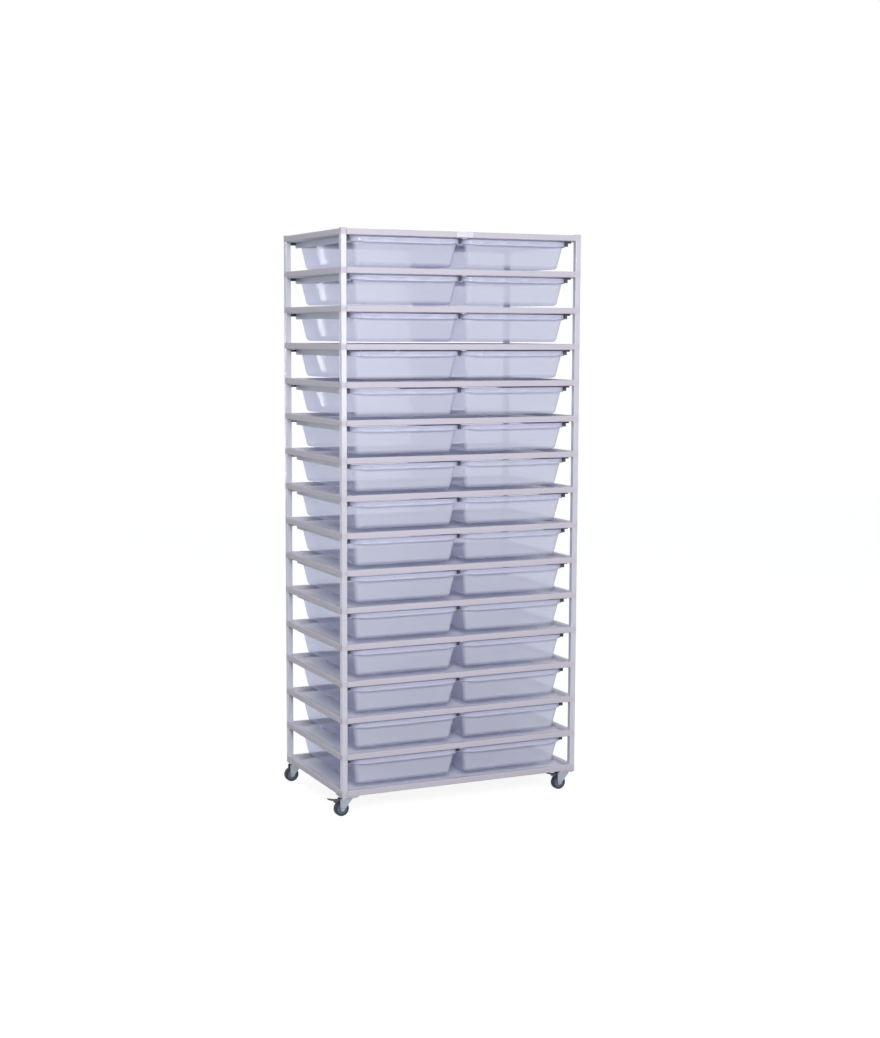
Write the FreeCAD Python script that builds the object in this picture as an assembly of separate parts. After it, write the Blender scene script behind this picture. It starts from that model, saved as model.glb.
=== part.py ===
import FreeCAD, Part
import math
import os

# A rolling rack of hanging tubs: a welded square-tube frame with a shelf panel in every level,
# runners under the shelves, two tubs side by side in each tier, and four swivel casters.
# Millimetres, +Z up, front towards -Y. The origin is on the floor, midway between the casters.

Vector = FreeCAD.Vector

# Frame of square steel tube
frame_width = 895.0
frame_depth = 550.0
tube = 20.0
tube_wall = 1.5
tier_count = 15
tier_pitch = 125.0

# Plugs in the open tops of the posts
plug_head = 2.0
plug_depth = 12.0
plug_clearance = 0.2

# Shelf panels, let into the rails and flush with their undersides
panel_thickness = 8.0
panel_clearance = 0.5

# Runners of folded sheet, hung under every level but the lowest
runner_sheet = 2.0
runner_height = 22.0
runner_ledge = 6.0
runner_inset = 23.5
runner_lap = 15.0
runner_setback = 40.0
runner_rear_setback = 9.0
runner_post_gap = 1.0
centre_web = 8.0
centre_flange = 21.0
centre_flange_margin = 4.0
centre_rivet_gap = 1.0

# Plastic caps on the runners' front ends
cap_length = 6.0
cap_height = 18.5
cap_stem = 11.0
cap_arm = 7.0
cap_bar = 2.0
cap_clearance = 0.5

# Stop bars behind the tubs, under the rear rails
stop_setback = 7.5
stop_thickness = 6.0
stop_height = 12.0
stop_end_gap = 2.5
stop_centre_gap = 1.5

# Blind rivets through the runners, and screws through the stop bars
rivet_radius = 2.0
rivet_head_radius = 4.0
rivet_head = 1.6
rivet_tail = 1.5
rivet_end_distance = 60.0
screw_radius = 1.75
screw_head_radius = 3.5
screw_head = 2.0
screw_bite = 5.0
screw_end_distance = 60.0
fastener_clearance = 0.05

# Tubs, carried by their turned-down rims
tub_setback = 11.0
tub_stop_gap = 1.0
tub_top_gap = 4.5
tub_bottom_gap = 7.0
tub_side_gap = 1.5
tub_seat_gap = 0.2
tub_wall = 2.5
tub_draft_deg = 10.5
tub_corner_radius = 16.0
tub_floor_radius = 15.0
rim_front = 12.0
rim_side = 6.0
rim_rear = 10.0
rim_thickness = 2.5
rim_corner_radius = 36.0
rib_count = 4
rib_spacing = 85.0
rib_thickness = 2.0

# Bare label plate on the top front rail
label_width = 60.0
label_height = 18.0
label_thickness = 0.6

# Casters: plate, fork, wheel and brake pedal
wheel_radius = 25.0
wheel_width = 20.0
tyre_thickness = 8.0
hub_radius = wheel_radius - tyre_thickness
hub_recess = 3.0
hub_recess_inner = 7.0
hub_lip = 3.0
hub_recess_outer = hub_radius - hub_lip
tyre_shoulder = 3.0
tyre_seat_gap = 0.02
wheel_headroom = 8.7
caster_trail = 22.0
caster_inset = 29.0
plate_side = 56.0
plate_thickness = 2.5
race_radius = 18.0
race_height = 3.0
swivel_gap = 0.3
king_pin_radius = 4.0
king_head_radius = 7.0
king_head = 2.0
running_clearance = 0.05
crown_radius = 20.0
crown_thickness = 2.5
leg_thickness = 2.5
leg_gap = 1.5
leg_boss_radius = 8.0
leg_shoulder_drop = 1.0
leg_front = 14.0
leg_front_depth = 3.7
axle_radius = 3.0
axle_head_radius = 5.0
axle_head = 4.0
axle_washer_gap = 0.1
bolt_spacing = 40.0
bolt_radius = 2.5
bolt_head_radius = 4.5
bolt_head = 3.5
bolt_end_gap = 0.2
gusset_side = 62.0
gusset_thickness = 3.0

# Brake pedal, hinged between the fork's legs above the tyre
pedal_width = 16.0
pedal_boss_radius = 3.5
pedal_boss_gap = 1.0
pedal_pivot_offset = 2.0
pedal_pin_radius = 1.5
pedal_pin_end = 0.5
pedal_arm = 22.0
pedal_reach = 48.0
pedal_toe_rise = 6.0
pedal_toe_thickness = 3.5
shoe_gap = 4.4
shoe_angle_deg = 133.0
shoe_width = 4.0

# Heights and planes that follow from the sizes above
half_width = frame_width / 2
half_depth = frame_depth / 2
inner_x = half_width - tube
inner_y = half_depth - tube
crown_z = 2 * wheel_radius + wheel_headroom
race_z = crown_z + crown_thickness + swivel_gap
plate_z = race_z + race_height
gusset_z = plate_z + plate_thickness
frame_base_z = gusset_z + gusset_thickness
frame_top_z = frame_base_z + tier_count * tier_pitch + tube

web_x = inner_x - runner_inset
flange_x = inner_x + runner_lap
centre_web_x = centre_web / 2
centre_flange_x = centre_flange / 2
runner_front_y = -half_depth + runner_setback
stop_y = half_depth - stop_setback
runner_rear_y = half_depth - runner_rear_setback
flange_rear_y = inner_y - runner_post_gap
cap_front_y = runner_front_y - cap_length
ledge_top = runner_sheet - runner_height

tub_width = web_x - centre_web_x - 2 * tub_side_gap
tub_centre_x = (web_x + centre_web_x) / 2
tub_front_y = -half_depth + tub_setback
tub_length = stop_y - tub_stop_gap - tub_front_y
tub_centre_y = tub_front_y + tub_length / 2
tub_height = tier_pitch - tube - tub_top_gap - tub_bottom_gap
skirt_height = -ledge_top - tub_seat_gap - tub_top_gap
lip_height = runner_height - tub_top_gap

rivet_x = inner_x + tube / 2
rivet_rows_y = (runner_front_y + rivet_end_distance, runner_rear_y - rivet_end_distance)
centre_rivet_y = half_depth - tube / 2
centre_rear_y = centre_rivet_y - rivet_head_radius - centre_rivet_gap
stop_outer_x = inner_x - stop_end_gap
stop_inner_x = centre_flange_x + stop_centre_gap
screw_columns_x = (stop_inner_x + screw_end_distance, stop_outer_x - screw_end_distance)
screw_y = stop_y + stop_thickness / 2

sides = {"left": -1, "right": 1}
caster_corners = {
    "front_left": (-1, -1),
    "front_right": (1, -1),
    "rear_left": (-1, 1),
    "rear_right": (1, 1),
}
braked_corners = ("front_left", "front_right")
overcut = 1.0


def level_z(level):
    """Underside of a level's rails; level 0 is the lowest."""
    return frame_base_z + level * tier_pitch


def block(x0, x1, y0, y1, z0, z1):
    """Box between two opposite corners."""
    return Part.makeBox(x1 - x0, y1 - y0, z1 - z0, Vector(x0, y0, z0))


def upright(radius, x, y, z0, z1):
    """Cylinder along Z."""
    return Part.makeCylinder(radius, z1 - z0, Vector(x, y, z0), Vector(0, 0, 1))


def crosswise(radius, x, y0, y1, z):
    """Cylinder along Y."""
    return Part.makeCylinder(radius, y1 - y0, Vector(x, y0, z), Vector(0, 1, 0))


def section_along_y(outline, y0, y1):
    """Closed outline of (x, z) points, extruded from y0 to y1."""
    corners = [Vector(x, y0, z) for x, z in outline]
    face = Part.Face(Part.makePolygon(corners + corners[:1]))
    return face.extrude(Vector(0, y1 - y0, 0))


def hexagon(radius, centre, direction, height):
    """Hexagonal prism with the given corner radius."""
    turn = FreeCAD.Rotation(Vector(0, 0, 1), direction)
    corners = []
    for i in range(7):
        angle = i * math.pi / 3
        flat = Vector(radius * math.cos(angle), radius * math.sin(angle), 0)
        corners.append(centre + turn.multVec(flat))
    return Part.Face(Part.makePolygon(corners)).extrude(direction * height)


def rounded_plate(width, length, radius, z0, z1):
    """Rectangle with round corners about the origin, extruded from z0 to z1."""
    plate = block(-width / 2, width / 2, -length / 2, length / 2, z0, z1)
    corners = [e for e in plate.Edges if abs(e.Vertexes[0].Z - e.Vertexes[1].Z) > (z1 - z0) / 2]
    return plate.makeFillet(radius, corners)


def at_levels(solid, levels):
    """Copies of a solid drawn at level height zero, one at each level."""
    return [solid.translated(Vector(0, 0, level_z(level))) for level in levels]


def save(node, solids):
    """Write one node, a single solid or a group of separate ones."""
    shape = solids[0] if len(solids) == 1 else Part.makeCompound(solids)
    shape.exportStep(f"parts/{node}.step")


os.makedirs("parts", exist_ok=True)
all_levels = range(tier_count + 1)
hung_levels = range(1, tier_count + 1)


# Posts: square tubes from the gussets to the top, with a plastic plug in each open top
def post(side_x, side_y):
    outer = block(0, tube, 0, tube, frame_base_z, frame_top_z)
    bore = block(tube_wall, tube - tube_wall, tube_wall, tube - tube_wall,
                 frame_base_z - overcut, frame_top_z + overcut)
    x = inner_x if side_x > 0 else -half_width
    y = inner_y if side_y > 0 else -half_depth
    return outer.cut(bore).translated(Vector(x, y, 0))


def post_plug(side_x, side_y):
    inset = tube_wall + plug_clearance
    head = block(0, tube, 0, tube, frame_top_z, frame_top_z + plug_head)
    stem = block(inset, tube - inset, inset, tube - inset, frame_top_z - plug_depth, frame_top_z)
    x = inner_x if side_x > 0 else -half_width
    y = inner_y if side_y > 0 else -half_depth
    return head.fuse(stem).removeSplitter().translated(Vector(x, y, 0))


save("posts", [post(*corner) for corner in caster_corners.values()])
save("post_plugs", [post_plug(*corner) for corner in caster_corners.values()])


# Rails: tubes between the posts; those above a runner or a stop bar have holes in their undersides
def rivet_hole(x, y):
    return upright(rivet_radius + fastener_clearance, x, y, -runner_sheet - overcut, tube / 2)


def screw_hole(x):
    return upright(screw_radius + fastener_clearance, x, screw_y, -stop_height - overcut, tube / 2)


def rail_across(y0):
    outer = block(-inner_x, inner_x, y0, y0 + tube, 0, tube)
    bore = block(-inner_x - overcut, inner_x + overcut, y0 + tube_wall, y0 + tube - tube_wall,
                 tube_wall, tube - tube_wall)
    return outer.cut(bore)


def rail_along(side):
    outer = block(0, tube, -inner_y, inner_y, 0, tube)
    bore = block(tube_wall, tube - tube_wall, -inner_y - overcut, inner_y + overcut,
                 tube_wall, tube - tube_wall)
    return outer.cut(bore).translated(Vector(inner_x if side > 0 else -half_width, 0, 0))


def rails_at_all_levels(plain, holes):
    holed = plain
    for hole in holes:
        holed = holed.cut(hole)
    return at_levels(plain, [0]) + at_levels(holed, hung_levels)


stop_screws_x = [side * x for side in sides.values() for x in screw_columns_x]
rear_holes = [rivet_hole(0, centre_rivet_y)] + [screw_hole(x) for x in stop_screws_x]
save("front_rails", rails_at_all_levels(rail_across(-half_depth), [rivet_hole(0, -centre_rivet_y)]))
save("rear_rails", rails_at_all_levels(rail_across(inner_y), rear_holes))
side_rails = []
for side in sides.values():
    holes = [rivet_hole(side * rivet_x, y) for y in rivet_rows_y]
    side_rails += rails_at_all_levels(rail_along(side), holes)
save("side_rails", side_rails)


# Shelf panels: they lie on the runners' top flanges, the lowest one on the corner gussets
panel_x = inner_x - panel_clearance
panel_y = inner_y - panel_clearance
panel = block(-panel_x, panel_x, -panel_y, panel_y, 0, panel_thickness)
save("shelf_panels", at_levels(panel, all_levels))


# Side runners: Z section, with the top flange under the side rail and the ledge under the rim;
# the flange stops short of the rear post, the web and ledge run on under the rear rail
def side_runner(side):
    outline = [
        (web_x, 0),
        (web_x + runner_sheet, 0),
        (web_x + runner_sheet, -runner_height),
        (web_x - runner_ledge, -runner_height),
        (web_x - runner_ledge, ledge_top),
        (web_x, ledge_top),
    ]
    runner = section_along_y([(side * x, z) for x, z in outline], runner_front_y, runner_rear_y)
    x0, x1 = sorted((side * web_x, side * flange_x))
    flange = block(x0, x1, runner_front_y, flange_rear_y, -runner_sheet, 0)
    runner = runner.fuse(flange).removeSplitter()
    for y in rivet_rows_y:
        runner = runner.cut(rivet_hole(side * rivet_x, y))
    return runner


# Centre runner: twin webs with a ledge for each tub, and a flange that runs out under the rails
def centre_runner():
    flange_y = half_depth - centre_flange_margin
    runner = block(-centre_flange_x, centre_flange_x, -flange_y, flange_y, -runner_sheet, 0)
    for side in sides.values():
        outline = [
            (centre_web_x, -runner_sheet),
            (centre_web_x, ledge_top),
            (centre_web_x + runner_ledge, ledge_top),
            (centre_web_x + runner_ledge, -runner_height),
            (centre_web_x - runner_sheet, -runner_height),
            (centre_web_x - runner_sheet, -runner_sheet),
        ]
        half = [(side * x, z) for x, z in outline]
        runner = runner.fuse(section_along_y(half, runner_front_y, centre_rear_y))
    runner = runner.removeSplitter()
    for y in (-centre_rivet_y, centre_rivet_y):
        runner = runner.cut(rivet_hole(0, y))
    return runner


save("side_runners", [s for side in sides.values() for s in at_levels(side_runner(side), hung_levels)])
save("centre_runners", at_levels(centre_runner(), hung_levels))


# End caps: a stem over the end of the web and an arm beside it
def side_cap(side):
    arm_x = inner_x - cap_clearance
    outline = [
        (web_x, 0),
        (arm_x, 0),
        (arm_x, -cap_arm),
        (web_x + cap_stem, -cap_arm),
        (web_x + cap_stem, -cap_height),
        (web_x, -cap_height),
    ]
    return section_along_y([(side * x, z) for x, z in outline], cap_front_y, runner_front_y)


def centre_cap():
    bar_z = -runner_sheet - cap_bar
    outline = [(centre_flange_x, -runner_sheet), (centre_flange_x, bar_z), (centre_web_x, bar_z),
               (centre_web_x, -cap_height)]
    outline += [(-x, z) for x, z in reversed(outline)]
    return section_along_y(outline, cap_front_y, runner_front_y)


end_caps = at_levels(centre_cap(), hung_levels)
for side in sides.values():
    end_caps += at_levels(side_cap(side), hung_levels)
save("runner_end_caps", end_caps)


# Stop bars: one behind each tub, screwed up into the rear rail
def stop_bar(side):
    x0, x1 = sorted((side * stop_inner_x, side * stop_outer_x))
    bar = block(x0, x1, stop_y, stop_y + stop_thickness, -stop_height, 0)
    for x in screw_columns_x:
        bar = bar.cut(screw_hole(side * x))
    return bar


save("rear_stop_bars", [s for side in sides.values() for s in at_levels(stop_bar(side), hung_levels)])


# Fasteners of the runners and stop bars
def rivet(x, y):
    head = upright(rivet_head_radius, x, y, -runner_sheet - rivet_head, -runner_sheet)
    shank = upright(rivet_radius, x, y, -runner_sheet, tube_wall + rivet_tail)
    return head.fuse(shank).removeSplitter()


def stop_screw(x):
    head = upright(screw_head_radius, x, screw_y, -stop_height - screw_head, -stop_height)
    shank = upright(screw_radius, x, screw_y, -stop_height, screw_bite)
    return head.fuse(shank).removeSplitter()


rivet_places = [(side * rivet_x, y) for side in sides.values() for y in rivet_rows_y]
rivet_places += [(0, -centre_rivet_y), (0, centre_rivet_y)]
save("runner_rivets", [s for place in rivet_places for s in at_levels(rivet(*place), hung_levels)])
save("stop_screws", [s for x in stop_screws_x for s in at_levels(stop_screw(x), hung_levels)])

# Label plate: bare, on the middle of the top front rail
label_z = level_z(tier_count) + tube / 2
save("label_plate", [block(-label_width / 2, label_width / 2, -half_depth - label_thickness, -half_depth,
                           label_z - label_height / 2, label_z + label_height / 2)])


# Tub: a drawn-in tray with round corners, and a rim with a skirt that rides on the ledges
def tray_form(width, length, z0, z1, corner_radius, floor_radius):
    """Tapered block, width by length at its top, with round upright corners and a round floor edge."""
    drawn_in = (z1 - z0) * math.tan(math.radians(tub_draft_deg))
    rings = []
    for z, inset in ((z0, drawn_in), (z1, 0.0)):
        x, y = width / 2 - inset, length / 2 - inset
        rings.append([Vector(-x, -y, z), Vector(x, -y, z), Vector(x, y, z), Vector(-x, y, z)])
    low, high = rings
    outlines = [low[::-1], high]
    for i in range(4):
        j = (i + 1) % 4
        outlines.append([low[i], low[j], high[j], high[i]])
    faces = [Part.Face(Part.makePolygon(corners + corners[:1])) for corners in outlines]
    form = Part.makeSolid(Part.makeShell(faces))
    upright_edges = [e for e in form.Edges if abs(e.Vertexes[0].Z - e.Vertexes[1].Z) > (z1 - z0) / 2]
    form = form.makeFillet(corner_radius, upright_edges)
    middle = (z0 + z1) / 2
    floor_edges = [e for e in form.Edges if all(v.Z < middle for v in e.Vertexes)]
    return form.makeFillet(floor_radius, floor_edges)


def tub_shell():
    """Tub about its own centre, with its underside at height zero."""
    slope = math.tan(math.radians(tub_draft_deg))
    across_wall = tub_wall / math.cos(math.radians(tub_draft_deg))
    body_width = tub_width - 2 * rim_side
    body_length = tub_length - rim_front - rim_rear
    body_shift = Vector(0, (rim_front - rim_rear) / 2, 0)
    body = tray_form(body_width, body_length, 0, tub_height, tub_corner_radius, tub_floor_radius)
    body.translate(body_shift)
    widening = 2 * (overcut * slope - across_wall)
    hollow = tray_form(body_width + widening, body_length + widening, tub_wall, tub_height + overcut,
                       tub_corner_radius - tub_wall, tub_floor_radius - tub_wall)
    hollow.translate(body_shift)

    rim_low = tub_height - rim_thickness
    skirt_low = tub_height - skirt_height
    flange = rounded_plate(tub_width, tub_length, rim_corner_radius, rim_low, tub_height)
    skirt = rounded_plate(tub_width, tub_length, rim_corner_radius, skirt_low, tub_height)
    skirt = skirt.cut(rounded_plate(tub_width - 2 * rim_thickness, tub_length - 2 * rim_thickness,
                                    rim_corner_radius - rim_thickness, skirt_low - overcut, rim_low))
    front_y = -tub_length / 2
    lip_x = tub_width / 2 - rim_corner_radius
    lip = block(-lip_x, lip_x, front_y, front_y + rim_thickness, tub_height - lip_height, rim_low)
    pieces = [flange, skirt, lip]
    drawn_in = skirt_height * slope
    front_rib = (front_y + rim_thickness / 2, front_y + rim_front + drawn_in)
    rear_rib = (-front_y - rim_rear - drawn_in, -front_y - rim_thickness / 2)
    for i in range(rib_count):
        x = (i - (rib_count - 1) / 2) * rib_spacing
        for y0, y1 in (front_rib, rear_rib):
            pieces.append(block(x - rib_thickness / 2, x + rib_thickness / 2, y0, y1, skirt_low, rim_low))
    return body.fuse(pieces).cut(hollow).removeSplitter()


tub = tub_shell()
for tier in range(1, tier_count + 1):
    shelf_above_z = level_z(tier_count + 1 - tier)
    for side_name, side in sides.items():
        place = Vector(side * tub_centre_x, tub_centre_y, shelf_above_z - tub_top_gap - tub_height)
        save(f"tub_{tier:02d}_{side_name}", [tub.translated(place)])


# Casters, drawn with the swivel axis on the Z axis and the wheel trailing towards -X
def bolt_places():
    reach = bolt_spacing / 2
    return [(x, y) for x in (-reach, reach) for y in (-reach, reach)]


def drilled(solid, z0, z1):
    """The solid with the four bolt holes through it."""
    for x, y in bolt_places():
        solid = solid.cut(upright(bolt_radius + fastener_clearance, x, y, z0 - overcut, z1 + overcut))
    return solid


def gusset(side_x, side_y):
    """Square plate welded flush with the frame's corner."""
    outward = caster_inset
    inward = caster_inset - gusset_side
    x0, x1 = sorted((side_x * outward, side_x * inward))
    y0, y1 = sorted((side_y * outward, side_y * inward))
    return drilled(block(x0, x1, y0, y1, gusset_z, frame_base_z), gusset_z, frame_base_z)


def caster_plate():
    """Top plate with its ball race and the riveted king pin."""
    reach = plate_side / 2
    plate = drilled(block(-reach, reach, -reach, reach, plate_z, gusset_z), plate_z, gusset_z)
    race = upright(race_radius, 0, 0, race_z, plate_z)
    head_top = crown_z - swivel_gap
    pin = upright(king_pin_radius, 0, 0, head_top, race_z)
    head = upright(king_head_radius, 0, 0, head_top - king_head, head_top)
    return plate.fuse([race, pin, head]).removeSplitter()


def caster_bolt(x, y):
    head = hexagon(bolt_head_radius, Vector(x, y, plate_z - bolt_head), Vector(0, 0, 1), bolt_head)
    shank = upright(bolt_radius, x, y, plate_z, frame_base_z - bolt_end_gap)
    return head.fuse(shank).removeSplitter()


leg_inner_y = wheel_width / 2 + leg_gap
leg_outer_y = leg_inner_y + leg_thickness
pedal_pivot = (-caster_trail - pedal_pivot_offset, 2 * wheel_radius + pedal_boss_gap + pedal_boss_radius)


def fork(braked):
    """Round crown and two legs that slope back to the axle."""
    crown_top = crown_z + crown_thickness
    shape = upright(crown_radius, 0, 0, crown_z, crown_top)
    boss = leg_boss_radius
    rear_x = -caster_trail - boss
    outline = [
        (leg_front, crown_top),
        (leg_front, crown_z - leg_front_depth + crown_thickness),
        (-caster_trail + boss, wheel_radius),
        (rear_x, wheel_radius),
        (rear_x, crown_top - leg_shoulder_drop),
        (-crown_radius, crown_top),
    ]
    for y0 in (leg_inner_y, -leg_outer_y):
        leg = section_along_y(outline, y0, y0 + leg_thickness)
        foot = crosswise(boss, -caster_trail, y0, y0 + leg_thickness, wheel_radius)
        shape = shape.fuse([leg, foot])
    shape = shape.removeSplitter()
    shape = shape.cut(upright(king_pin_radius + running_clearance, 0, 0, crown_z - overcut,
                              crown_top + overcut))
    across = leg_outer_y + overcut
    shape = shape.cut(crosswise(axle_radius + running_clearance, -caster_trail, -across, across,
                                wheel_radius))
    if braked:
        x, z = pedal_pivot
        shape = shape.cut(crosswise(pedal_pin_radius + running_clearance, x, -across, across, z))
    return shape


def axle_bolt():
    """Axle through the legs, with a hexagon head in front and a nut behind."""
    seat_y = leg_outer_y + axle_washer_gap
    shank = crosswise(axle_radius, -caster_trail, -seat_y, seat_y, wheel_radius)
    ends = []
    for y in (-seat_y, seat_y):
        outward = Vector(0, math.copysign(1.0, y), 0)
        ends.append(hexagon(axle_head_radius, Vector(-caster_trail, y, wheel_radius), outward, axle_head))
    return shank.fuse(ends).removeSplitter()


def pedal_pin():
    x, z = pedal_pivot
    reach = leg_outer_y + pedal_pin_end
    return crosswise(pedal_pin_radius, x, -reach, reach, z)


def wheel_hub():
    """Plastic hub with a shallow ring-shaped recess in each face."""
    half = wheel_width / 2
    x, z = -caster_trail, wheel_radius
    hub = crosswise(hub_radius, x, -half, half, z)
    hub = hub.cut(crosswise(axle_radius + running_clearance, x, -half - overcut, half + overcut, z))
    for y0, y1 in ((-half - overcut, -half + hub_recess), (half - hub_recess, half + overcut)):
        ring = crosswise(hub_recess_outer, x, y0, y1, z)
        ring = ring.cut(crosswise(hub_recess_inner, x, y0 - overcut, y1 + overcut, z))
        hub = hub.cut(ring)
    return hub


def tyre():
    """Rubber ring with round shoulders."""
    half = wheel_width / 2
    x, z = -caster_trail, wheel_radius
    ring = crosswise(wheel_radius, x, -half, half, z)
    ring = ring.makeFillet(tyre_shoulder, [e for e in ring.Edges if e.Closed])
    bore = crosswise(hub_radius + tyre_seat_gap, x, -half - overcut, half + overcut, z)
    return ring.cut(bore)


def brake_pedal():
    """Lever hinged above the tyre, with a shoe over the tyre's flank and a toe plate behind."""
    pivot_x, pivot_z = pedal_pivot
    angle = math.radians(shoe_angle_deg)
    reach = wheel_radius + shoe_gap
    tip_x = -caster_trail + reach * math.cos(angle)
    tip_z = wheel_radius + reach * math.sin(angle)
    toe_x = -caster_trail - pedal_reach
    arm_top = pivot_z + pedal_boss_radius
    toe_top = arm_top + pedal_toe_rise
    outline = [
        (pivot_x, arm_top),
        (pivot_x - pedal_arm, arm_top),
        (toe_x, toe_top),
        (toe_x, toe_top - pedal_toe_thickness),
        (tip_x - 2 * shoe_width, pivot_z),
        (tip_x - shoe_width, tip_z),
        (tip_x, tip_z),
        (tip_x + 2 * shoe_width, pivot_z - pedal_boss_radius / 2),
        (pivot_x, pivot_z - pedal_boss_radius),
    ]
    half = pedal_width / 2
    lever = section_along_y(outline, -half, half)
    boss = crosswise(pedal_boss_radius, pivot_x, -half, half, pivot_z)
    bore = crosswise(pedal_pin_radius + running_clearance, pivot_x, -half - overcut, half + overcut, pivot_z)
    return lever.fuse(boss).removeSplitter().cut(bore)


def caster_place(side_x, side_y):
    """Swivel axis of a caster, on the floor."""
    return Vector(side_x * (half_width - caster_inset), side_y * (half_depth - caster_inset), 0)


gussets, plates, bolts = [], [], []
for corner, (side_x, side_y) in caster_corners.items():
    place = caster_place(side_x, side_y)
    gussets.append(gusset(side_x, side_y).translated(place))
    plates.append(caster_plate().translated(place))
    bolts += [caster_bolt(x, y).translated(place) for x, y in bolt_places()]
    braked = corner in braked_corners
    fork_pieces = [fork(braked), axle_bolt()] + ([pedal_pin()] if braked else [])
    save(f"caster_fork_{corner}", [piece.translated(place) for piece in fork_pieces])
    save(f"wheel_hub_{corner}", [wheel_hub().translated(place)])
    save(f"tyre_{corner}", [tyre().translated(place)])
    if braked:
        save(f"brake_pedal_{corner}", [brake_pedal().translated(place)])
save("corner_gussets", gussets)
save("caster_plates", plates)
save("caster_bolts", bolts)
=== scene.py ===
import math

import bmesh
import bpy
import numpy as np
from mathutils import Matrix, Vector


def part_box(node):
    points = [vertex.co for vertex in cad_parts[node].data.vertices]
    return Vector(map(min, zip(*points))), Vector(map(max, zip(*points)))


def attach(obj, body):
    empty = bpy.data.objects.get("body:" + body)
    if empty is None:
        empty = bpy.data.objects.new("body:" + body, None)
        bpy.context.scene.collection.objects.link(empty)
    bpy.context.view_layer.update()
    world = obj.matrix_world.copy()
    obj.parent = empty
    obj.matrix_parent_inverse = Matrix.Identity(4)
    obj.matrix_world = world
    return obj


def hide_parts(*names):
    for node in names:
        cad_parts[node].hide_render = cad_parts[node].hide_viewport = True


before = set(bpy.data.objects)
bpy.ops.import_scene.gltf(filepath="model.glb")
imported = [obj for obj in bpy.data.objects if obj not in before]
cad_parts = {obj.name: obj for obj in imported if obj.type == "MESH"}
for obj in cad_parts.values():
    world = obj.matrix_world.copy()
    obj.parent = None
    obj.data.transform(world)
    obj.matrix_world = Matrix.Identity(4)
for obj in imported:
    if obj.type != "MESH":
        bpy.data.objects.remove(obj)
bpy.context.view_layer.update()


# Corner posts: four lengths of cold-rolled 20 mm square steel tube, round along their edges.
# They stand on the corner gussets and carry sixteen welded rings of rails.
# The whole frame is powder coated in a pale satin grey after welding.
tube, tube_wall, tube_edge_radius = 0.020, 0.0015, 0.0024
tier_count = 15
post_low, post_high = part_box("posts")
tier_pitch = (post_high.z - post_low.z - tube) / tier_count
corner_signs = np.array([(-1, -1), (1, -1), (-1, 1), (1, 1)], float)
along_x, along_y, along_z = np.eye(3)


def grid_faces(copies, rows, columns, ring):
    """Quads of like grids, one after another: every point is joined to the next one round its
    row and to the same place in the next row; a ring also joins its last row to its first."""
    last = rows if ring else rows - 1
    r, c = np.meshgrid(np.arange(last), np.arange(columns), indexing="ij")
    r2, c2 = (r + 1) % rows, (c + 1) % columns
    one = np.stack([r * columns + c, r * columns + c2, r2 * columns + c2, r2 * columns + c], -1)
    starts = np.arange(copies) * rows * columns
    return (one.reshape(1, -1, 4) + starts[:, None, None]).reshape(-1, 4)


def make_piece(name, points, faces, material, crease_deg=35.0):
    """Object at the origin from an array of points and a list of faces. Its faces are turned
    outwards, and it is smooth up to the crease angle."""
    mesh = bpy.data.meshes.new(name)
    mesh.from_pydata(points.reshape(-1, 3).tolist(), [], faces)
    shell = bmesh.new()
    shell.from_mesh(mesh)
    bmesh.ops.recalc_face_normals(shell, faces=shell.faces)
    shell.to_mesh(mesh)
    shell.free()
    mesh.polygons.foreach_set("use_smooth", np.ones(len(mesh.polygons), bool))
    mesh.set_sharp_from_angle(angle=math.radians(crease_deg))
    mesh.materials.append(material)
    obj = bpy.data.objects.new(name, mesh)
    bpy.context.scene.collection.objects.link(obj)
    return obj


def round_square(half, radius, steps=5):
    """Closed loop of (a, b) points: a square of the given half side whose four corners are
    quarter circles, each walked in equal angles, one corner after another."""
    turn = np.linspace(0, math.pi / 2, steps)
    starts = np.arange(4) * math.pi / 2
    angle = (starts[:, None] + turn[None, :]).ravel()
    centre = np.repeat(np.array([(1, 1), (-1, 1), (-1, -1), (1, -1)], float), steps, axis=0)
    return centre * (half - radius) + radius * np.stack([np.cos(angle), np.sin(angle)], -1)


def tube_runs(starts, ends, across_a, across_b):
    """Hollow square tubes from start to end points. The section is two round squares, the wall
    apart; the rows go up the outside, over the end, down the inside and close under the start."""
    outer = round_square(tube / 2, tube_edge_radius)
    inner = round_square(tube / 2 - tube_wall, tube_edge_radius - tube_wall)
    loops = np.stack([outer, outer, inner, inner])
    at_end = np.array([0.0, 1.0, 1.0, 0.0])[None, :, None]
    axis = starts[:, None, :] + (ends - starts)[:, None, :] * at_end
    offset = loops[..., :1] * across_a + loops[..., 1:] * across_b
    return axis[:, :, None, :] + offset[None]


def tube_piece(name, node, points, material):
    """Tubes that stand for one CAD node, with their flats kept flat beside the round edges."""
    copies, rows, columns = points.shape[:3]
    faces = grid_faces(copies, rows, columns, True).tolist()
    obj = make_piece(name, points, faces, material)
    even = obj.modifiers.new("flat_faces", "WEIGHTED_NORMAL")
    even.keep_sharp = True
    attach(obj, "frame")
    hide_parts(node)


def new_group(name, inputs, outputs):
    """Empty shader node group with float and colour sockets, and its input and output nodes."""
    group = bpy.data.node_groups.new(name, "ShaderNodeTree")
    for label, kind, value in inputs:
        group.interface.new_socket(label, in_out="INPUT", socket_type=kind).default_value = value
    for label, kind in outputs:
        group.interface.new_socket(label, in_out="OUTPUT", socket_type=kind)
    return group, group.nodes.new("NodeGroupInput"), group.nodes.new("NodeGroupOutput")


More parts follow.
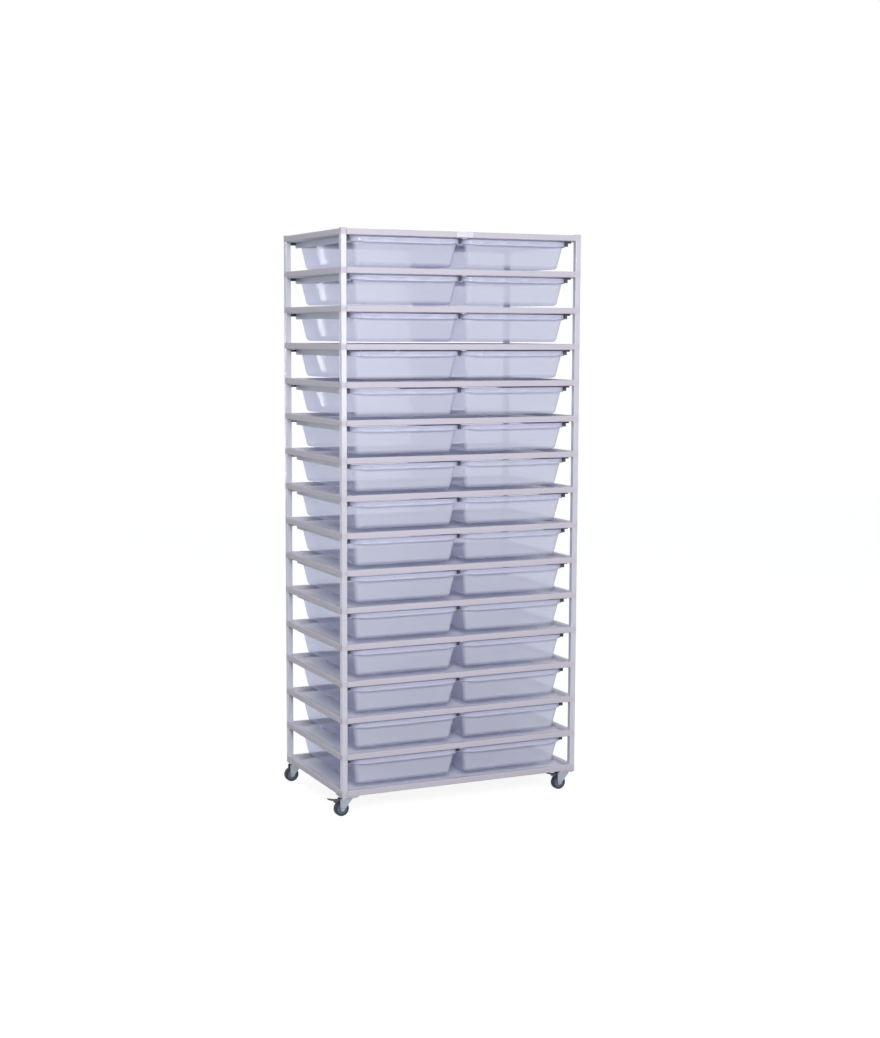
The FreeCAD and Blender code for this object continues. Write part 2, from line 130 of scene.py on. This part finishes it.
def mottle_group():
    """Slow drift between two colours, a finer drift of the roughness, and a fine grain as height:
    three noises on Object coordinates, each with its own scale. The two drifts are stretched from
    the range that a noise mostly keeps to."""
    noise_low, noise_high, smear_per_drift = 0.3, 0.7, 4.5
    colour, value = "NodeSocketColor", "NodeSocketFloat"
    group, source, sink = new_group(
        "mottle",
        [("Tone A", colour, (0.8, 0.8, 0.8, 1)), ("Tone B", colour, (0.7, 0.7, 0.7, 1)),
         ("Drift Scale", value, 6.0), ("Grain Scale", value, 900.0),
         ("Rough Low", value, 0.35), ("Rough High", value, 0.5)],
        [("Color", colour), ("Roughness", value), ("Height", value)])
    add, join = group.nodes.new, group.links.new
    place = add("ShaderNodeTexCoord")
    drift, smear, grain = (add("ShaderNodeTexNoise") for _ in range(3))
    for noise, detail in ((drift, 4.0), (smear, 5.0), (grain, 2.0)):
        join(place.outputs["Object"], noise.inputs["Vector"])
        noise.inputs["Detail"].default_value = detail
    finer = add("ShaderNodeMath")
    finer.operation = "MULTIPLY"
    finer.inputs[1].default_value = smear_per_drift
    join(source.outputs["Drift Scale"], drift.inputs["Scale"])
    join(source.outputs["Drift Scale"], finer.inputs[0])
    join(finer.outputs[0], smear.inputs["Scale"])
    join(source.outputs["Grain Scale"], grain.inputs["Scale"])
    spread, rough = add("ShaderNodeMapRange"), add("ShaderNodeMapRange")
    for noise, stretch in ((drift, spread), (smear, rough)):
        stretch.inputs["From Min"].default_value = noise_low
        stretch.inputs["From Max"].default_value = noise_high
        join(noise.outputs["Fac"], stretch.inputs["Value"])
    blend = add("ShaderNodeMix")
    blend.data_type = "RGBA"
    join(spread.outputs["Result"], blend.inputs["Factor"])
    join(source.outputs["Tone A"], blend.inputs["A"])
    join(source.outputs["Tone B"], blend.inputs["B"])
    join(source.outputs["Rough Low"], rough.inputs["To Min"])
    join(source.outputs["Rough High"], rough.inputs["To Max"])
    join(blend.outputs["Result"], sink.inputs["Color"])
    join(rough.outputs["Result"], sink.inputs["Roughness"])
    join(grain.outputs["Fac"], sink.inputs["Height"])
    return group


mottle = mottle_group()


def mottled_material(name, tone_a, tone_b, drift, grain, rough, bump_m, **sockets):
    """Principled material whose colour, roughness and fine bump come from the mottle group;
    sockets that are the same all over are set on the shader itself."""
    material = bpy.data.materials.new(name)
    material.use_nodes = True
    tree = material.node_tree
    shader = tree.nodes["Principled BSDF"]
    effect = tree.nodes.new("ShaderNodeGroup")
    effect.node_tree = mottle
    effect.inputs["Tone A"].default_value = (*tone_a, 1)
    effect.inputs["Tone B"].default_value = (*tone_b, 1)
    effect.inputs["Drift Scale"].default_value = drift
    effect.inputs["Grain Scale"].default_value = grain
    effect.inputs["Rough Low"].default_value, effect.inputs["Rough High"].default_value = rough
    bump = tree.nodes.new("ShaderNodeBump")
    bump.inputs["Distance"].default_value = bump_m
    tree.links.new(effect.outputs["Color"], shader.inputs["Base Color"])
    tree.links.new(effect.outputs["Roughness"], shader.inputs["Roughness"])
    tree.links.new(effect.outputs["Height"], bump.inputs["Height"])
    tree.links.new(bump.outputs["Normal"], shader.inputs["Normal"])
    for label, value in sockets.items():
        shader.inputs[label].default_value = value
    return material


rail_coat = mottled_material("powder_coat_rails", tone_a=(0.735, 0.69, 0.745),
                             tone_b=(0.70, 0.665, 0.72), drift=5.0, grain=1400.0,
                             rough=(0.36, 0.46), bump_m=0.00001)


def post_coat_material():
    """The same coat, but smoother on the lengths of post between the rings of rails, and drawn
    whiter
    and bluer there as a painted sheen: the height above the frame's foot, modulo the tier pitch, is
    compared with the tube's height, and the finish and the painted sheen change over three
    millimetres there."""
    change_low, change_high = tube - 0.001, tube + 0.002
    # Painted sheen: the whiter, bluer tone on the post lengths stands in for the brighter highlight
    # they catch from the lamps; the lower roughness and the coat are the real finish.
    painted_sheen_tone, smooth_roughness, coat_roughness = (0.75, 0.76, 0.81, 1), 0.17, 0.15
    material = rail_coat.copy()
    material.name = "powder_coat_posts"
    tree = material.node_tree
    add, join = tree.nodes.new, tree.links.new
    place, split = add("ShaderNodeTexCoord"), add("ShaderNodeSeparateXYZ")
    above, within = add("ShaderNodeMath"), add("ShaderNodeMath")
    above.operation, within.operation = "SUBTRACT", "MODULO"
    above.inputs[1].default_value = post_low.z
    within.inputs[1].default_value = tier_pitch
    between = add("ShaderNodeMapRange")
    between.inputs["From Min"].default_value = change_low
    between.inputs["From Max"].default_value = change_high
    join(place.outputs["Object"], split.inputs["Vector"])
    join(split.outputs["Z"], above.inputs[0])
    join(above.outputs[0], within.inputs[0])
    join(within.outputs[0], between.inputs["Value"])
    tone, polish = add("ShaderNodeMix"), add("ShaderNodeMapRange")
    tone.data_type = "RGBA"
    tone.inputs["B"].default_value = painted_sheen_tone
    polish.inputs["To Max"].default_value = smooth_roughness
    effect = next(node for node in tree.nodes if node.type == "GROUP")
    shader = tree.nodes["Principled BSDF"]
    shader.inputs["Coat Roughness"].default_value = coat_roughness
    join(between.outputs["Result"], tone.inputs["Factor"])
    join(between.outputs["Result"], polish.inputs["Value"])
    join(between.outputs["Result"], shader.inputs["Coat Weight"])
    join(effect.outputs["Color"], tone.inputs["A"])
    join(effect.outputs["Roughness"], polish.inputs["To Min"])
    join(tone.outputs["Result"], shader.inputs["Base Color"])
    join(polish.outputs["Result"], shader.inputs["Roughness"])
    return material


post_coat = post_coat_material()
post_xy = corner_signs * (np.array([post_high.x, post_high.y]) - tube / 2)
post_feet = np.column_stack([post_xy, np.full(len(post_xy), post_low.z)])
post_heads = np.column_stack([post_xy, np.full(len(post_xy), post_high.z)])
post_tubes = tube_runs(post_feet, post_heads, along_x, along_y)
tube_piece("corner_posts", "posts", post_tubes, post_coat)


# Rings of rails: at each of the sixteen levels a front, a rear and two side tubes of the same
# section stand between the posts. Each end is cut square and welded to a post.
level_count = tier_count + 1
level_z = post_low.z + tier_pitch * np.arange(level_count)
reach_x, reach_y = post_high.x - tube, post_high.y - tube
line_x, line_y = reach_x + tube / 2, reach_y + tube / 2


def rails_across(y):
    """One tube along X at every level, with its middle line at the given y."""
    start = np.column_stack([np.full(level_count, -reach_x), np.full(level_count, y),
                             level_z + tube / 2])
    return tube_runs(start, start * np.array([-1, 1, 1]), along_y, along_z)


def rails_along(x):
    """One tube along Y at every level, with its middle line at the given x."""
    start = np.column_stack([np.full(level_count, x), np.full(level_count, -reach_y),
                             level_z + tube / 2])
    return tube_runs(start, start * np.array([1, -1, 1]), along_z, along_x)


side_tubes = np.concatenate([rails_along(-line_x), rails_along(line_x)])
tube_piece("front_rail_tubes", "front_rails", rails_across(-line_y), rail_coat)
tube_piece("rear_rail_tubes", "rear_rails", rails_across(line_y), rail_coat)
tube_piece("side_rail_tubes", "side_rails", side_tubes, rail_coat)


# Weld beads: short rippled fillets above and below each rail end, where it meets its post.
# The outer faces are ground flush before coating, so no bead shows there.
bead_leg, bead_sink, bead_bulge = 0.0026, 0.0004, 0.72
bead_length = tube - 2 * tube_edge_radius
bead_rows, bead_arc_points = 9, 4
ripple_height, ripple_pitch = 0.0003, 0.0028
end_size, end_taper = 0.25, 6


def weld_beads():
    """A rounded corner fillet carried across the rail's width. Its size swells and shrinks with
    the sine of the way along, and both ends taper; rows are places along, columns go round."""
    along = np.linspace(-0.5, 0.5, bead_rows)
    swell = bead_leg + ripple_height * np.sin(along * bead_length * 2 * math.pi / ripple_pitch)
    swell = swell * np.minimum(1.0, end_taper * (0.5 - np.abs(along)) + end_size)
    angle = np.linspace(0, math.pi / 2, bead_arc_points)
    reach = bead_bulge + (1 - bead_bulge) * np.abs(np.cos(2 * angle))
    away = swell[:, None] * np.append(reach * np.cos(angle), 0.0) - bead_sink
    lift = swell[:, None] * np.append(reach * np.sin(angle), 0.0) - bead_sink
    wide = along[:, None] * bead_length
    over = (level_z[:-1] + tube)[:, None, None] + lift
    under = level_z[1:, None, None] - lift
    beads = []
    for sx, sy in corner_signs:
        for z in (over, under):
            for x, y in ((sx * (reach_x - away), sy * (line_y + wide)),
                         (sx * (line_x + wide), sy * (reach_y - away))):
                beads.append(np.stack(np.broadcast_arrays(x, y, z), -1))
    return np.concatenate(beads)


def end_faces(copies, rows, columns):
    """The first and the last row of each of the like grids, as faces of their own."""
    first = np.arange(copies)[:, None] * rows * columns + np.arange(columns)
    return np.concatenate([first, first + (rows - 1) * columns])


bead_points = weld_beads()
bead_shape = bead_points.shape[:3]
bead_faces = grid_faces(*bead_shape, False).tolist() + end_faces(*bead_shape).tolist()
beads = make_piece("weld_beads", bead_points, bead_faces, rail_coat, crease_deg=50.0)
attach(beads, "frame")


# Corner gussets: steel plates across the lowest corners, welded on from below before coating.
# The lowest panel lies on them, and the casters are bolted up to them.
def coat_nodes(material, *names):
    """Gives CAD nodes whose shape is right their finish."""
    for name in names:
        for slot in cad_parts[name].material_slots:
            slot.material = material


coat_nodes(rail_coat, "corner_gussets")


# Post plugs: pale caps, moulded in plastic, that close the open tops of the posts.
# Each has a stem that is pressed into the tube.
plug_plastic = mottled_material("plug_plastic", tone_a=(0.70, 0.69, 0.74),
                                tone_b=(0.66, 0.65, 0.70), drift=20.0, grain=1800.0,
                                rough=(0.4, 0.5), bump_m=0.00003)
coat_nodes(plug_plastic, "post_plugs")


# Shelf panels: white foamed board, cut to drop into each ring, with its lower face flush with the
# rails. The lowest lies on the gussets, the others on the runners' flanges.
shelf_board = mottled_material("shelf_board", tone_a=(0.91, 0.915, 0.955),
                               tone_b=(0.885, 0.89, 0.935), drift=3.0, grain=700.0,
                               rough=(0.38, 0.55), bump_m=0.00002)
coat_nodes(shelf_board, "shelf_panels")


# Runners: folded sheet, riveted up under the rails of every level but the lowest. A side runner is
# a Z with its ledge under the tub's rim; the centre one has a ledge for the tub on either side.
runner_metal = mottled_material("runner_sheet", tone_a=(0.60, 0.63, 0.71),
                                tone_b=(0.56, 0.59, 0.67), drift=9.0, grain=1200.0,
                                rough=(0.42, 0.55), bump_m=0.00003, Metallic=0.35)
coat_nodes(runner_metal, "side_runners", "centre_runners")


# End caps and rear stops: black nylon. The caps close the runners' front ends, and a stop bar
# behind each tub is screwed to the rear rail.
black_nylon = mottled_material("black_nylon", tone_a=(0.085, 0.085, 0.098),
                               tone_b=(0.105, 0.105, 0.120), drift=30.0, grain=2200.0,
                               rough=(0.38, 0.55), bump_m=0.00005)
coat_nodes(black_nylon, "runner_end_caps", "rear_stop_bars")


# Fasteners: blind rivets in the runners, screws in the stop bars and bolts in the casters' plates.
# All are steel, zinc plated and dulled by handling.
plated_steel = mottled_material("plated_steel", tone_a=(0.58, 0.60, 0.64),
                                tone_b=(0.50, 0.52, 0.57), drift=60.0, grain=2600.0,
                                rough=(0.3, 0.45), bump_m=0.00002, Metallic=1.0)
coat_nodes(plated_steel, "runner_rivets", "stop_screws", "caster_bolts")


# Label plate: a bare strip of white film.
# It is stuck on the middle of the top front rail.
label_film = mottled_material("label_film", tone_a=(0.90, 0.90, 0.92),
                              tone_b=(0.86, 0.86, 0.89), drift=40.0, grain=1500.0,
                              rough=(0.3, 0.42), bump_m=0.00002)
coat_nodes(label_film, "label_plate")


# Tubs: thirty thin-walled mouldings in frosted polypropylene, drawn in towards a flat floor.
# Each hangs by a turned-down rim, widest and deepest along the front, and short ribs stiffen it.
# Sizes of the tub are in millimetres, about the middle of its underside.
per_metre = 1000
tub_wall, tub_draft = 2.5, math.radians(10.5)
tub_corner, mouth_corner, tub_floor = 16.0, 15.0, 15.0
floor_inset, least_corner = 4.0, 0.6
rim_front, rim_side, rim_rear = 12.0, 6.0, 10.0
rim_sheet, rim_corner = 2.5, 36.0
rim_root, rim_bend, rim_shoulder, rim_mouth = 1.0, 0.8, 2.2, 2.4
skirt, lip_drop, lip_share = 15.3, 2.2, 0.97
tick_height, tick_half = 0.5, 1.6
rib_x = np.array([-127.5, -42.5, 42.5, 127.5])
rib_half, rib_rise, rib_sink = 1.0, 0.6, 1.2
tub_box_low, tub_box_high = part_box("tub_01_left")
tub_size = per_metre * np.array(tub_box_high - tub_box_low)
tub_height = tub_size[2]
rim_half = tub_size[:2] / 2
body_half = rim_half - np.array([rim_side, (rim_front + rim_rear) / 2])
body_shift = (rim_front - rim_rear) / 2

# Milkiness is the share of the light that a surface scatters; the rest passes clear.
floor_milk, wall_milk, front_grain = 0.38, 0.36, 0.46
hem_milk, face_milk, crest_milk, brim_milk = 0.76, 0.7, 0.74, 0.5
rib_milk, hidden_milk = 0.8, 0.0


def arc(n, z, radius, start_deg, end_deg, steps):
    """Points of a circular arc in the plane of outward distance and height."""
    angle = np.radians(np.linspace(start_deg, end_deg, steps))
    return np.column_stack([n + radius * np.cos(angle), z + radius * np.sin(angle)])


def tub_profile():
    """Section of the tub from the middle of its underside, up its wall, out over the rim and back
    to the wall. The wall and floor are their outer skin alone, so that light is scattered once
    in them; the rim is closed. Each row has an outward distance, a height, a corner radius, a
    mark that is one where the distance counts from the rim's edge and zero where it counts from
    the mouth, and a milkiness. Straight runs are joined by arcs that are tangent to them."""
    slope, lean = math.tan(tub_draft), math.cos(tub_draft)
    draft = math.degrees(tub_draft)
    top, edge = tub_height, rim_sheet / 2
    neck_z, turn_z = top - rim_sheet - rim_root, top - rim_sheet - rim_bend
    hem_z, crest_z, brim_z = top - skirt + edge, top - rim_shoulder, top - rim_mouth

    def outer_wall(z):
        return -(top - z) * slope

    def rows_of(points, corner, on_rim, milkiness):
        count = len(points)
        return np.column_stack([points, np.broadcast_to(corner, count), np.full(count, on_rim),
                                np.full(count, milkiness)])

    foot = outer_wall(tub_floor) - tub_floor / lean
    under = arc(foot, tub_floor, tub_floor, -90, -draft, steps=9)
    under_corner = np.maximum(tub_corner - (under[-1, 0] - under[:, 0]), least_corner)
    middle = under[:1] - np.array([[floor_inset, 0.0]])
    wall_z = np.array([tub_floor, top - 2 * rim_sheet])
    wall = np.column_stack([outer_wall(wall_z), wall_z])
    neck = arc(outer_wall(neck_z) + rim_root / lean, neck_z, rim_root, 180 - draft, 90, steps=4)
    turn = arc(-rim_sheet - rim_bend, turn_z, rim_bend, 90, 0, steps=4)
    hem = arc(-edge, hem_z, edge, -180, 0, steps=7)
    face_shares = np.array([0.12, 0.3, 0.75, 0.93])
    face_z = hem_z + (crest_z - hem_z) * face_shares
    face = np.column_stack([np.zeros(len(face_z)), face_z])
    crest = arc(-rim_shoulder, crest_z, rim_shoulder, 0, 90, steps=5)
    mouth = outer_wall(brim_z) - tub_wall / lean + rim_mouth / lean
    brim = arc(mouth, brim_z, rim_mouth, 90, 180 - draft, steps=6)
    blocks = [rows_of(middle, least_corner, 0, floor_milk),
              rows_of(under, under_corner, 0, wall_milk),
              rows_of(wall, tub_corner, 0, wall_milk),
              rows_of(neck, tub_corner, 0, wall_milk),
              rows_of(turn, rim_corner - rim_sheet, 1, hidden_milk),
              rows_of(hem, rim_corner - edge, 1, hem_milk),
              rows_of(face, rim_corner, 1, face_milk),
              rows_of(crest, rim_corner - rim_shoulder / 2, 1, crest_milk),
              rows_of(brim, mouth_corner, 0, brim_milk),
              rows_of(neck[:1], tub_corner, 0, hidden_milk)]
    ends = np.cumsum([len(block) for block in blocks])
    hem_start, face_start, crest_start = ends[4:7]
    hem_rows, tick_rows = slice(hem_start, face_start), slice(face_start + 1, crest_start - 1)
    return np.concatenate(blocks), hem_rows, tick_rows


def tub_columns():
    """Walk round a rounded rectangle, the front side first: each column is a place along a side
    or an angle in a corner, given as multiples of the straight half sides and of the radius.
    Places stand close together beside each rib and where the front lip ends."""
    straight = rim_half[0] - rim_corner
    beside_rib = np.array([-2.6, -1.4, 1.4, 2.6])
    lip_ends = straight * np.array([-0.985, -0.955, 0.0, 0.955, 0.985])
    along = np.sort(np.concatenate([(rib_x[:, None] + beside_rib).ravel(), lip_ends])) / straight
    flank = np.linspace(-0.9, 0.9, 7)
    steps = np.linspace(0, math.pi / 2, 11)
    columns = []
    for side, places in enumerate((along, flank, along, flank)):
        c, s = round(math.cos(side * math.pi / 2)), round(math.sin(side * math.pi / 2))
        columns.append(np.column_stack([c * places + s, s * places - c,
                                        np.full(len(places), s), np.full(len(places), -c)]))
        angle = steps + (side - 1) * math.pi / 2
        corner = np.broadcast_to([c + s, s - c], (len(steps), 2))
        columns.append(np.column_stack([corner, np.cos(angle), np.sin(angle)]))
    return np.concatenate(columns), along * straight


def tub_shell():
    """Every row of the section is carried round the columns: place along each half side, plus
    the corner circle. The front hem hangs lower, and the rim's front face is set back between
    narrow ticks over the ribs. The front wall is grained and so milkier than the smooth sides,
    less so towards its foot."""
    profile, hem_rows, tick_rows = tub_profile()
    columns, front_x = tub_columns()
    n, z, radius, on_rim, milkiness = profile.T
    half = np.where(on_rim[:, None] > 0, rim_half, body_half) + n[:, None]
    span = half - radius[:, None]
    points = np.empty((len(n), len(columns), 3))
    points[..., 0] = span[:, :1] * columns[:, 0] + radius[:, None] * columns[:, 2]
    points[..., 1] = span[:, 1:] * columns[:, 1] + radius[:, None] * columns[:, 3]
    points[..., 1] += (body_shift * (1 - on_rim))[:, None]
    points[..., 2] = z[:, None]
    front = slice(0, len(front_x))
    past_lip = np.abs(front_x) > lip_share * (rim_half[0] - rim_corner)
    points[hem_rows, front, 2] -= np.where(past_lip, 0.0, lip_drop)
    near_rib = np.abs(front_x[:, None] - rib_x).min(axis=1) < tick_half
    points[tick_rows, front, 1] += np.where(near_rib, 0.0, tick_height)
    grained = np.clip(z / tub_floor, 0, 1)[:, None] * np.maximum(-columns[:, 3], 0)
    return points, milkiness[:, None] + front_grain * grained * (1 - on_rim)[:, None]


def rim_ribs():
    """Four thin upright webs behind the front rim and four behind the rear one: boxes whose back
    edge leans with the wall."""
    low, high = tub_height - skirt + rib_rise, tub_height - rim_sheet / 2
    slope = math.tan(tub_draft)
    x = rib_x[:, None, None] + np.array([-rib_half, rib_half])[:, None]
    z = np.array([low, low, high, high])
    webs = []
    for end, width in ((-1, rim_front), (1, rim_rear)):
        far = width + rib_sink
        depth = np.array([rim_sheet / 2, far + (tub_height - low) * slope,
                          far + (tub_height - high) * slope, rim_sheet / 2])
        y = end * (rim_half[1] - depth)
        webs.append(np.stack(np.broadcast_arrays(x, y, z), -1))
    return np.concatenate(webs)


(shell_points, shell_milkiness), rib_points = tub_shell(), rim_ribs()
shell_rows, shell_columns = shell_points.shape[:2]
first_rib = shell_rows * shell_columns
rib_shape = rib_points.shape[:3]
tub_faces = grid_faces(1, shell_rows, shell_columns, False).tolist()
tub_faces.append(list(range(shell_columns)))
tub_faces += (grid_faces(*rib_shape, False) + first_rib).tolist()
tub_faces += (end_faces(*rib_shape) + first_rib).tolist()
tub_points = np.concatenate([shell_points.reshape(-1, 3), rib_points.reshape(-1, 3)]) / per_metre
rib_milkiness = np.full(math.prod(rib_shape), rib_milk)
tub_milkiness = np.concatenate([shell_milkiness.ravel(), rib_milkiness])


def frosted_material():
    """Milky plastic: a part of the light is scattered back, a part goes on scattered, and a part
    passes clear. How much is scattered follows the milkiness that is stored on the mesh. It is
    on the outer skin alone, so that a wall scatters once, and highest on the front and the rim."""
    cool_tint, share_scattered_on = (0.88, 0.90, 1.0, 1), 0.28
    material = mottled_material("frosted_polypropylene", tone_a=(0.93, 0.94, 1.0),
                                tone_b=(0.91, 0.92, 1.0), drift=4.0, grain=300.0,
                                rough=(0.03, 0.05), bump_m=0.000001, IOR=1.49)
    tree = material.node_tree
    add, join = tree.nodes.new, tree.links.new
    through, clear = add("ShaderNodeBsdfTranslucent"), add("ShaderNodeBsdfTransparent")
    through.inputs["Color"].default_value = cool_tint
    clear.inputs["Color"].default_value = cool_tint
    milky, wall = add("ShaderNodeMixShader"), add("ShaderNodeMixShader")
    milky.inputs["Fac"].default_value = share_scattered_on
    milkiness = add("ShaderNodeAttribute")
    milkiness.attribute_name = "milkiness"
    join(tree.nodes["Principled BSDF"].outputs[0], milky.inputs[1])
    join(through.outputs[0], milky.inputs[2])
    join(milkiness.outputs["Fac"], wall.inputs["Fac"])
    join(clear.outputs[0], wall.inputs[1])
    join(milky.outputs[0], wall.inputs[2])
    join(wall.outputs[0], tree.nodes["Material Output"].inputs["Surface"])
    return material


frosted = frosted_material()
for tier in range(1, tier_count + 1):
    for side in ("left", "right"):
        node = f"tub_{tier:02d}_{side}"
        low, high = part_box(node)
        place = np.array([(low.x + high.x) / 2, (low.y + high.y) / 2, low.z])
        tub = make_piece(f"frosted_{node}", tub_points + place, tub_faces, frosted, crease_deg=40.0)
        stored = tub.data.attributes.new("milkiness", "FLOAT", "POINT")
        stored.data.foreach_set("value", tub_milkiness)
        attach(tub, node)
        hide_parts(node)


# Casters: pressed and zinc-plated plates and forks, moulded plastic hubs and rubber tyres.
# The front pair have black lever pedals that press a shoe on the tyre.
zinc_plate = mottled_material("zinc_plate", tone_a=(0.38, 0.42, 0.49),
                              tone_b=(0.32, 0.36, 0.43), drift=45.0, grain=2400.0,
                              rough=(0.28, 0.42), bump_m=0.00003, Metallic=0.9)
hub_plastic = mottled_material("hub_plastic", tone_a=(0.17, 0.19, 0.23),
                               tone_b=(0.14, 0.16, 0.20), drift=50.0, grain=2500.0,
                               rough=(0.35, 0.5), bump_m=0.00003)
tyre_rubber = mottled_material("tyre_rubber", tone_a=(0.036, 0.043, 0.060),
                               tone_b=(0.028, 0.034, 0.048), drift=40.0, grain=1600.0,
                               rough=(0.55, 0.75), bump_m=0.00008)
coat_nodes(zinc_plate, "caster_plates")
for corner in ("front_left", "front_right", "rear_left", "rear_right"):
    coat_nodes(zinc_plate, f"caster_fork_{corner}")
    coat_nodes(hub_plastic, f"wheel_hub_{corner}")
    coat_nodes(tyre_rubber, f"tyre_{corner}")
coat_nodes(black_nylon, "brake_pedal_front_left", "brake_pedal_front_right")


# Studio: a white floor that runs out into a white surround, which mirror-like and clear surfaces
# see too. The light that the surround throws on the object is cool, and brightest from behind.
surround_tint, white = (0.87, 0.92, 1.0, 1), (1, 1, 1, 1)
level_around, level_behind = 0.1, 1.9
behind_starts, behind_full = 0.5, 0.9


def sees_backdrop(tree):
    """One for rays from the camera, from a glossy surface or through a clear one, else zero."""
    path = tree.nodes.new("ShaderNodeLightPath")
    either, any_of_three = tree.nodes.new("ShaderNodeMath"), tree.nodes.new("ShaderNodeMath")
    either.operation = any_of_three.operation = "MAXIMUM"
    tree.links.new(path.outputs["Is Camera Ray"], either.inputs[0])
    tree.links.new(path.outputs["Is Glossy Ray"], either.inputs[1])
    tree.links.new(either.outputs[0], any_of_three.inputs[0])
    tree.links.new(path.outputs["Is Transmission Ray"], any_of_three.inputs[1])
    return any_of_three.outputs[0]


world = bpy.data.worlds.new("studio")
bpy.context.scene.world = world
world.use_nodes = True
tree = world.node_tree
add, join = tree.nodes.new, tree.links.new
surround, backdrop = tree.nodes["Background"], add("ShaderNodeBackground")
surround.inputs["Color"].default_value = surround_tint
backdrop.inputs["Color"].default_value = white
backdrop.inputs["Strength"].default_value = 1.0
direction, split = add("ShaderNodeTexCoord"), add("ShaderNodeSeparateXYZ")
behind = add("ShaderNodeMapRange")
behind.inputs["From Min"].default_value = behind_starts
behind.inputs["From Max"].default_value = behind_full
behind.inputs["To Min"].default_value = level_around
behind.inputs["To Max"].default_value = level_behind
join(direction.outputs["Generated"], split.inputs["Vector"])
join(split.outputs["Y"], behind.inputs["Value"])
join(behind.outputs["Result"], surround.inputs["Strength"])
choose = add("ShaderNodeMixShader")
join(sees_backdrop(tree), choose.inputs["Fac"])
join(surround.outputs[0], choose.inputs[1])
join(backdrop.outputs[0], choose.inputs[2])
join(choose.outputs[0], tree.nodes["World Output"].inputs["Surface"])

floor_half, floor_lift = 9.0, 0.88
corners = np.array([(-1, -1, 0), (1, -1, 0), (1, 1, 0), (-1, 1, 0)], float) * floor_half
floor_paint = bpy.data.materials.new("studio_floor")
floor_paint.use_nodes = True
tree = floor_paint.node_tree
shader = tree.nodes["Principled BSDF"]
shader.inputs["Base Color"].default_value = (0.28, 0.28, 0.29, 1)
shader.inputs["Roughness"].default_value = 0.9
shader.inputs["Specular IOR Level"].default_value = 0.1
shader.inputs["Emission Color"].default_value = white
lift = tree.nodes.new("ShaderNodeMath")
lift.operation = "MULTIPLY"
lift.inputs[1].default_value = floor_lift
tree.links.new(sees_backdrop(tree), lift.inputs[0])
tree.links.new(lift.outputs[0], shader.inputs["Emission Strength"])
floor = make_piece("studio_floor", corners, [[0, 1, 2, 3]], floor_paint)


# Lamps: a large softbox at the front left gives most of the light, and fainter ones at the front
# right and above fill in. The rear strip is a narrow leaning lamp behind the left side: it shows
# as a slanted bright line in the tubs' left walls.
def softbox(name, place, target, width, height, watts, colour):
    """Rectangular lamp at a place, turned to face a target point."""
    lamp = bpy.data.lights.new(name, "AREA")
    lamp.shape = "RECTANGLE"
    lamp.size, lamp.size_y = width, height
    lamp.energy = watts
    lamp.color = colour
    obj = bpy.data.objects.new(name, lamp)
    bpy.context.scene.collection.objects.link(obj)
    aim = (Vector(target) - Vector(place)).to_track_quat("-Z", "Y")
    obj.matrix_world = Matrix.Translation(place) @ aim.to_matrix().to_4x4()
    obj.visible_camera = False
    return obj


softbox("left_softbox", place=(-1.7, -4.7, 2.9), target=(0, 0, 1.2), width=1.6, height=2.2,
        watts=180.0, colour=(0.923, 0.921, 1.0))
softbox("right_softbox", place=(1.15, -4.0, 2.1), target=(1.15, 0, 2.1), width=0.9, height=2.2,
        watts=22.0, colour=(1.0, 0.98, 0.98))
softbox("top_softbox", place=(0, 0.2, 4.4), target=(0, 0.2, 0), width=1.5, height=1.5,
        watts=22.0, colour=(0.97, 0.98, 1.0))
rear_strip = softbox("rear_strip", place=(-1.445, 3.0, 1.25), target=(-0.4, 0.1, 1.25),
                     width=0.030, height=1.0, watts=0.8, colour=(1.0, 1.0, 1.0))
strip_lean = Matrix.Rotation(-0.13, 4, "Z")
rear_strip.matrix_world = rear_strip.matrix_world @ strip_lean


# Camera: the viewpoint that was fitted to the photograph, to the left of the front and higher than
# the middle of the rack. It is turned to the right, tilted down and very slightly rolled.
camera_place = (-2.499, -5.439, 1.626)
yaw, pitch, roll = math.radians(25.02), math.radians(6.28), math.radians(0.22)
camera_data = bpy.data.cameras.new("photo_camera")
camera_data.sensor_width = 36.0
camera_data.lens = 58.54
forward = Vector((math.sin(yaw) * math.cos(pitch), math.cos(yaw) * math.cos(pitch),
                  -math.sin(pitch)))
level_right = Vector((math.cos(yaw), -math.sin(yaw), 0))
right = math.cos(roll) * level_right + math.sin(roll) * level_right.cross(forward)
up = right.cross(forward)
camera = bpy.data.objects.new("photo_camera", camera_data)
bpy.context.scene.collection.objects.link(camera)
turn = Matrix((right, up, -forward)).transposed().to_4x4()
camera.matrix_world = Matrix.Translation(camera_place) @ turn
bpy.context.scene.camera = camera
bpy.context.scene.view_settings.view_transform = "Standard"
